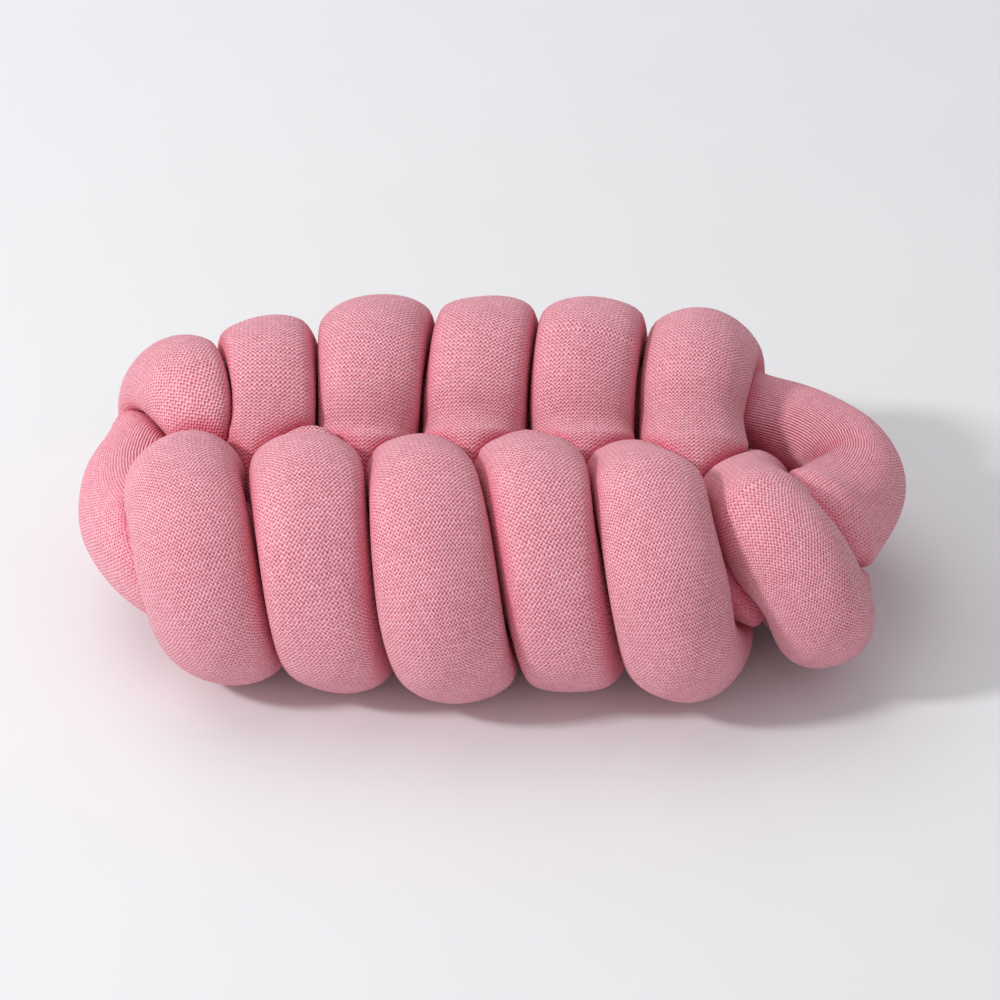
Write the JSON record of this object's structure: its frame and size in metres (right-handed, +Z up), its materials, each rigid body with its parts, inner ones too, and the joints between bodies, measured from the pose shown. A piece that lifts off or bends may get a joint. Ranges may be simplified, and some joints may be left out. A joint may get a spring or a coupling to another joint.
{
  "type": "knot cushion",
  "caption": "Oblong knot cushion: one stuffed knit tube laid as an oval ring and woven over it in figures of eight.",
  "frame": {"origin": "on the surface the cushion lies on, below the middle of its length and depth", "axes": "+X along the length, +Y towards the back row of loops, +Z up"},
  "size_m": [0.4966, 0.3092, 0.1506],
  "materials": {
    "pink_knit": "fine heathered jersey knit, matt with a soft nap"
  },
  "bodies": {
    "root": {"knit_tube": "pink_knit"}
  },
  "joints": []
}
